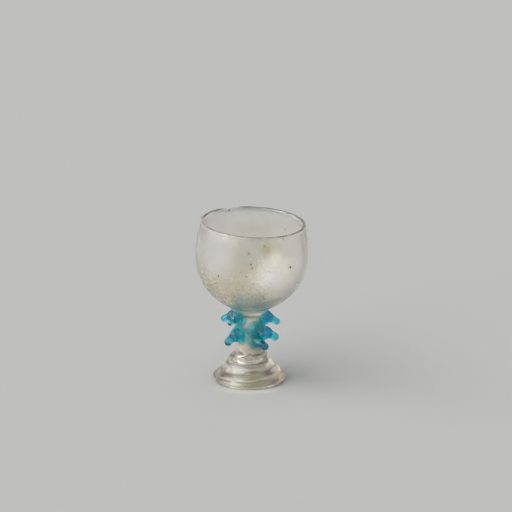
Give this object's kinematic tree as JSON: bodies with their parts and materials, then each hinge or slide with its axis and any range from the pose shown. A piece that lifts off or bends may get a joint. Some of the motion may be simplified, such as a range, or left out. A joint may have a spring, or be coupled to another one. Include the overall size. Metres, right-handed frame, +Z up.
{
  "type": "roemer",
  "caption": "Miniature blown-glass roemer: goblet bowl on a hollow stem with drawn prunts, standing on a foot wound from a thick glass thread.",
  "frame": {"origin": "under the middle of the whole glass, on the surface that it stands on", "axes": "+Z up from the foot to the bowl; -Y is the side seen in the picture; +X to its right"},
  "size_m": [0.0328, 0.0328, 0.049],
  "materials": {
    "clear_glass": "fire-polished, slightly weathered",
    "thread_glass": "fire-polished",
    "blue_glass": "fire-polished"
  },
  "bodies": {
    "root": {"bowl": "clear_glass", "stem": "clear_glass", "foot_thread": "thread_glass", "prunt_upper_left": "blue_glass", "prunt_upper_front_left": "blue_glass", "prunt_upper_front_right": "blue_glass", "prunt_upper_right": "blue_glass", "prunt_upper_back_right": "blue_glass", "prunt_upper_back_left": "blue_glass", "prunt_lower_front_left": "blue_glass", "prunt_lower_front_right": "blue_glass", "prunt_lower_right": "blue_glass", "prunt_lower_back_right": "blue_glass", "prunt_lower_back_left": "blue_glass"}
  },
  "joints": []
}
